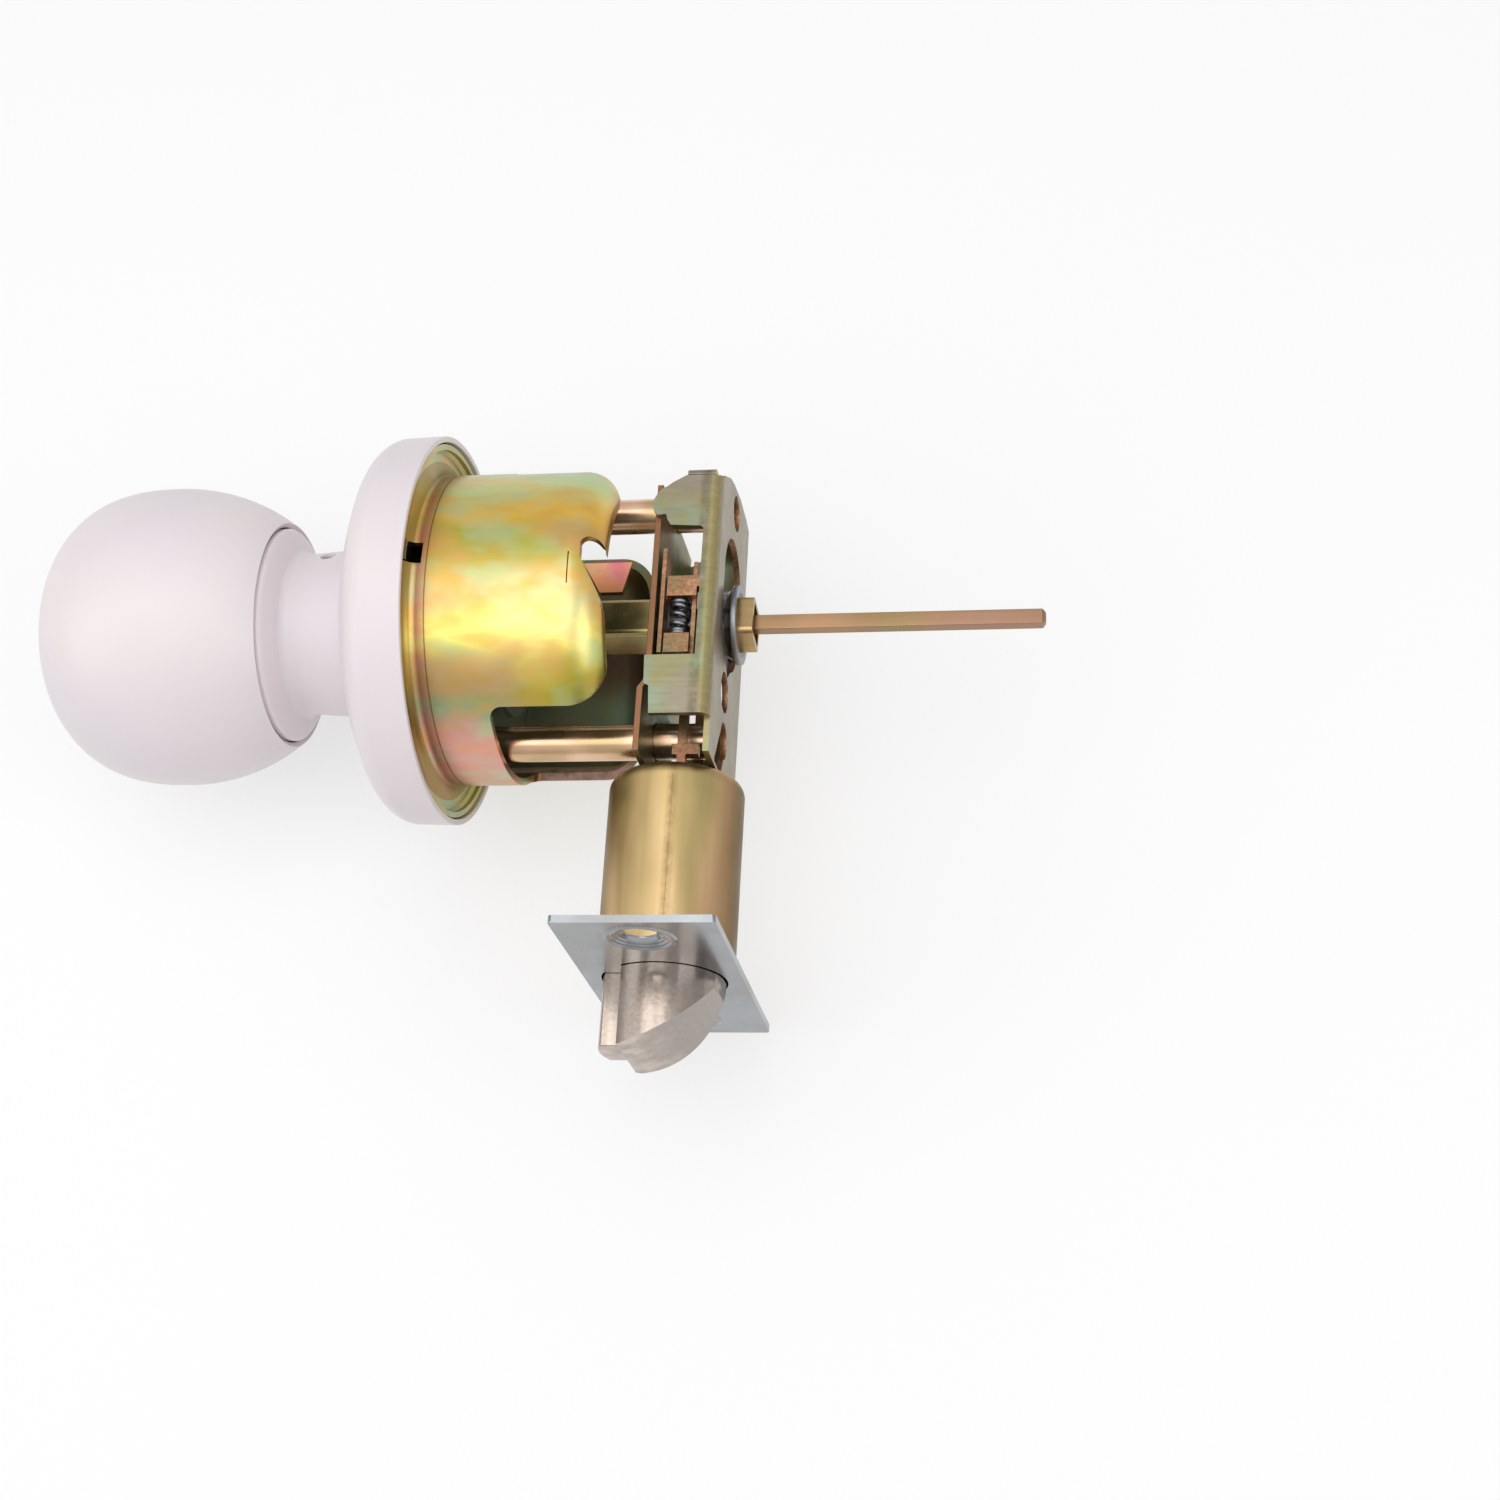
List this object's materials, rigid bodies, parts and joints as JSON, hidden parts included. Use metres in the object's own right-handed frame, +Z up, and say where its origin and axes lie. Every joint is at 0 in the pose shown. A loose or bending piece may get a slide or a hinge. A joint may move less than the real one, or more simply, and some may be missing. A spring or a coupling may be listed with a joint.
{
  "type": "keyed door knob",
  "caption": "Keyed ball knob with round rose, slotted chassis cup, tubular latch case with bevelled bolt and face plate, and a long spindle bar for the inside knob.",
  "frame": {"origin": "the crossing of the knob axis and the latch axis, in the middle of the latch case", "axes": "+X along the knob axis towards the inside of the door, -Y towards the door's edge, +Z up the door"},
  "size_m": [0.1674, 0.1061, 0.065],
  "materials": {
    "pearl_paint": "satin pearl",
    "yellow_zinc": "yellow passivated zinc",
    "case_steel": "passivated zinc",
    "copper_steel": "copper toned sheet edges",
    "zinc_steel": "plain zinc",
    "satin_nickel": "satin nickel",
    "satin_brass": "satin",
    "plain_brass": "plain",
    "spring_steel": "bright wire"
  },
  "bodies": {
    "chassis": {"rose_cover": "pearl_paint", "rose_liner": "yellow_zinc", "sleeve_bush": "zinc_steel", "chassis_cup": "yellow_zinc", "upper_post": "yellow_zinc", "lower_post": "yellow_zinc", "knob_spring": "spring_steel", "spring_plate": "zinc_steel", "case_channel": "case_steel", "case_cover": "case_steel", "latch_tube": "yellow_zinc", "tube_guide": "zinc_steel", "face_plate": "satin_nickel", "bolt_spring": "spring_steel"},
    "knob": {"knob_shell": "pearl_paint", "knob_collar": "pearl_paint", "knob_catch": "spring_steel", "cylinder_body": "satin_brass", "cylinder_cage": "zinc_steel", "driver_pins": "plain_brass", "pin_springs": "spring_steel", "spindle_sleeve": "zinc_steel", "drive_tube": "yellow_zinc", "stop_plate": "zinc_steel", "latch_hub": "case_steel"},
    "plug": {"key_plug": "satin_brass", "plug_clip": "spring_steel", "key_pins": "plain_brass", "spindle_bar": "yellow_zinc"},
    "retractor": {"retractor_slide": "copper_steel", "retractor_springs": "spring_steel"},
    "bolt": {"latch_bolt": "satin_nickel", "bolt_tail": "zinc_steel", "tail_pin": "spring_steel", "plunger_spring": "spring_steel"},
    "plunger": {"deadlatch_plunger": "satin_nickel"}
  },
  "joints": [
    {"name": "knob_turn", "type": "hinge", "parent": "chassis", "child": "knob", "pos_m": [0, 0, 0], "axis": [-1, 0, 0], "range_deg": [0, 69], "stiffness_Nm_per_rad": 0.25, "deforming": ["knob_spring"]},
    {"name": "key_turn", "type": "hinge", "parent": "knob", "child": "plug", "pos_m": [0, 0, 0], "axis": [1, 0, 0], "range_deg": [0, 90]},
    {"name": "retractor_lift", "type": "slide", "parent": "chassis", "child": "retractor", "axis": [0, 1, 0], "range_m": [0, 0.0125]},
    {"name": "bolt_slide", "type": "slide", "parent": "chassis", "child": "bolt", "axis": [0, 1, 0], "range_m": [0, 0.0125], "deforming": ["bolt_spring"]},
    {"name": "plunger_slide", "type": "slide", "parent": "bolt", "child": "plunger", "axis": [0, 1, 0], "range_m": [0, 0.0095], "stiffness_N_per_m": 60, "deforming": ["plunger_spring"]}
  ],
  "couplings": [
    {"joint": "retractor_lift", "follows": "knob_turn", "m_per_rad": 0.0103},
    {"joint": "bolt_slide", "follows": "knob_turn", "m_per_rad": 0.0103}
  ]
}
